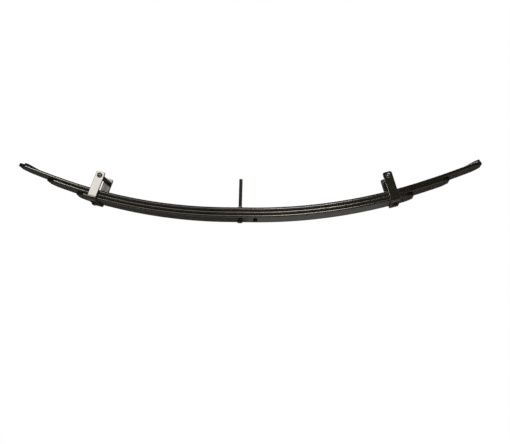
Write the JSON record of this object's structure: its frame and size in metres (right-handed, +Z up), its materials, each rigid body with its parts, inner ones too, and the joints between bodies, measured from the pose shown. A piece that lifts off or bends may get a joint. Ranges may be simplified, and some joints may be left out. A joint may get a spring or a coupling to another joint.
{
  "type": "leaf spring",
  "caption": "Black helper leaf spring pack for a light truck's rear axle: stacked curved leaves on a long centre bolt, bolted U-shaped clips and tip pads.",
  "frame": {"origin": "on the centre bolt's axis, at the underside of the shortest leaf, where the axle seat bears", "axes": "+Z up, to the hollow side and the centre bolt's free end; +X along the leaves to the longer, rear half; +Y across, to the clip nuts"},
  "size_m": [1.1128, 0.0939, 0.1541],
  "materials": {
    "black_paint": "satin",
    "black_oxide": "satin",
    "dark_plating": "satin",
    "black_rubber": "matte"
  },
  "bodies": {
    "leaf_pack": {"main_leaf": "black_paint", "second_leaf": "black_paint", "third_leaf": "black_paint", "center_bolt": "black_oxide", "center_nut": "dark_plating", "center_washer": "dark_plating", "pack_bolt": "black_oxide", "pack_nut": "dark_plating"},
    "front_arm": {"front_clip_strap": "black_paint", "front_clip_rivet": "black_oxide", "front_clip_bolt": "black_oxide", "front_clip_nut": "dark_plating", "front_clip_washer": "dark_plating"},
    "front_tip": {"front_tip_pad": "black_rubber"},
    "front_sleeve": {"front_clip_sleeve": "black_paint"},
    "rear_arm": {"rear_clip_strap": "black_paint", "rear_clip_rivet": "black_oxide", "rear_clip_bolt": "black_oxide", "rear_clip_nut": "dark_plating", "rear_clip_washer": "dark_plating"},
    "rear_tip": {"rear_tip_pad": "black_rubber"},
    "rear_sleeve": {"rear_clip_sleeve": "black_paint"}
  },
  "joints": [
    {"name": "front_flex", "type": "hinge", "parent": "leaf_pack", "child": "front_arm", "pos_m": [-0.18113, 0, 0.02159], "axis": [0, -1, 0], "range_deg": [0, 15], "stiffness_Nm_per_rad": 2600, "deforming": ["main_leaf", "second_leaf", "third_leaf"]},
    {"name": "front_tip_flex", "type": "hinge", "parent": "front_arm", "child": "front_tip", "pos_m": [-0.4384, 0, 0.09051], "axis": [0, -1, 0], "range_deg": [0, 7], "deforming": ["main_leaf", "second_leaf", "third_leaf"]},
    {"name": "front_sleeve_spin", "type": "hinge", "parent": "front_arm", "child": "front_sleeve", "pos_m": [-0.33456, -0.0002, 0.09778], "axis": [0.0522, 0.9985, -0.014], "continuous": true},
    {"name": "rear_flex", "type": "hinge", "parent": "leaf_pack", "child": "rear_arm", "pos_m": [0.18113, 0, 0.02159], "axis": [0, 1, 0], "range_deg": [0, 15], "stiffness_Nm_per_rad": 2600, "deforming": ["main_leaf", "second_leaf", "third_leaf"]},
    {"name": "rear_tip_flex", "type": "hinge", "parent": "rear_arm", "child": "rear_tip", "pos_m": [0.4384, 0, 0.09051], "axis": [0, 1, 0], "range_deg": [0, 7], "deforming": ["main_leaf", "second_leaf", "third_leaf"]},
    {"name": "rear_sleeve_spin", "type": "hinge", "parent": "rear_arm", "child": "rear_sleeve", "pos_m": [0.34928, 0, 0.10179], "axis": [0, 1, 0], "continuous": true}
  ],
  "couplings": [
    {"joint": "front_tip_flex", "follows": "front_flex", "ratio": 0.46667},
    {"joint": "rear_tip_flex", "follows": "rear_flex", "ratio": 0.46667}
  ]
}
